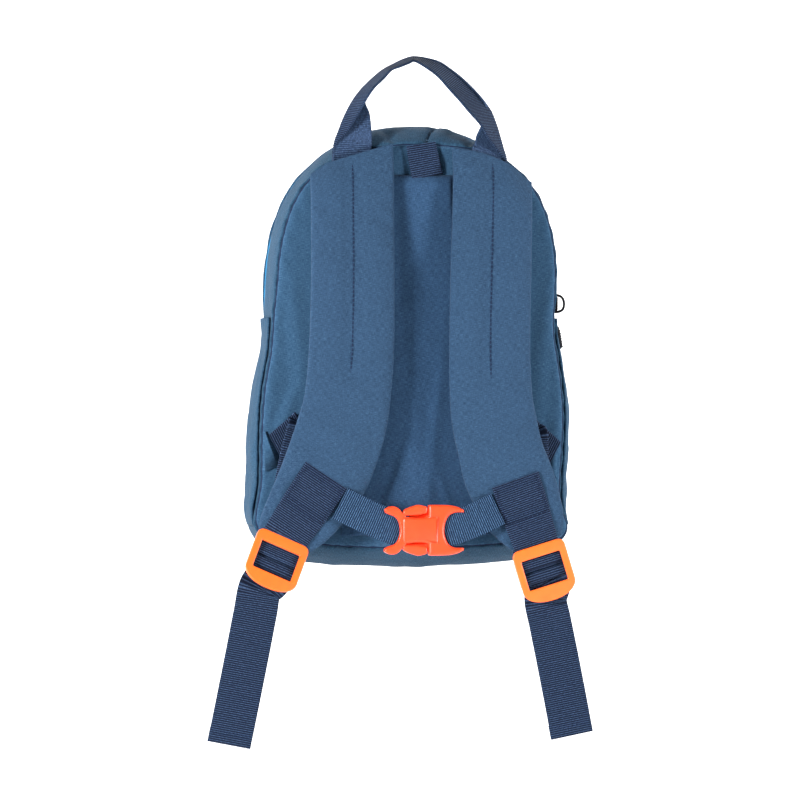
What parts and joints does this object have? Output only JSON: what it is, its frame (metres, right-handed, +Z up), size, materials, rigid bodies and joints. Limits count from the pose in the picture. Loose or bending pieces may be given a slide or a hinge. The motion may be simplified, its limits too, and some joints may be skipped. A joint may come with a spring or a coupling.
{
  "type": "toddler harness backpack",
  "caption": "Small padded backpack hung by its grab handle, with shoulder straps, chest buckle, ladder locks and hanging strap tails.",
  "frame": {"origin": "underside of the grab handle at its top, where a hook would hold it", "axes": "+Z up; +X to the right seen from the strap side; -Y out of the strap side, +Y out of the bag front"},
  "size_m": [0.2191, 0.1136, 0.391],
  "materials": {
    "body_cloth": "denim blue melange woven polyester",
    "pad_cloth": "denim blue melange woven polyester over a soft pad",
    "gusset_cloth": "teal blue woven polyester",
    "webbing": "navy webbing with light cross ribs",
    "buckle_orange": "orange red moulded plastic",
    "lock_orange": "orange moulded plastic",
    "zip_tape": "bright blue zip",
    "dark_metal": "black painted zip hardware"
  },
  "bodies": {
    "root": {"gusset": "gusset_cloth", "back_panel": "body_cloth", "front_panel": "body_cloth", "back_pad": "pad_cloth", "main_zip": "zip_tape", "zip_slider": "dark_metal", "grab_handle": "webbing", "rein_webbing": "webbing", "side_pocket_left": "gusset_cloth", "shoulder_strap_left": "body_cloth", "strap_patch_left": "webbing", "ladder_lock_left": "lock_orange", "adjust_webbing_left": "webbing", "tail_hem_left": "webbing", "anchor_tab_left": "body_cloth", "chest_webbing_left": "webbing", "side_pocket_right": "gusset_cloth", "shoulder_strap_right": "body_cloth", "strap_patch_right": "webbing", "ladder_lock_right": "lock_orange", "adjust_webbing_right": "webbing", "tail_hem_right": "webbing", "anchor_tab_right": "body_cloth", "chest_webbing_right": "webbing", "buckle_female": "buckle_orange", "buckle_male": "buckle_orange"},
    "puller": {"zip_puller": "dark_metal"}
  },
  "joints": [
    {"name": "puller_swing", "type": "hinge", "parent": "root", "child": "puller", "pos_m": [0.08374, 0.01216, -0.13805], "axis": [0, -1, 0], "range_deg": [0, 165]}
  ]
}
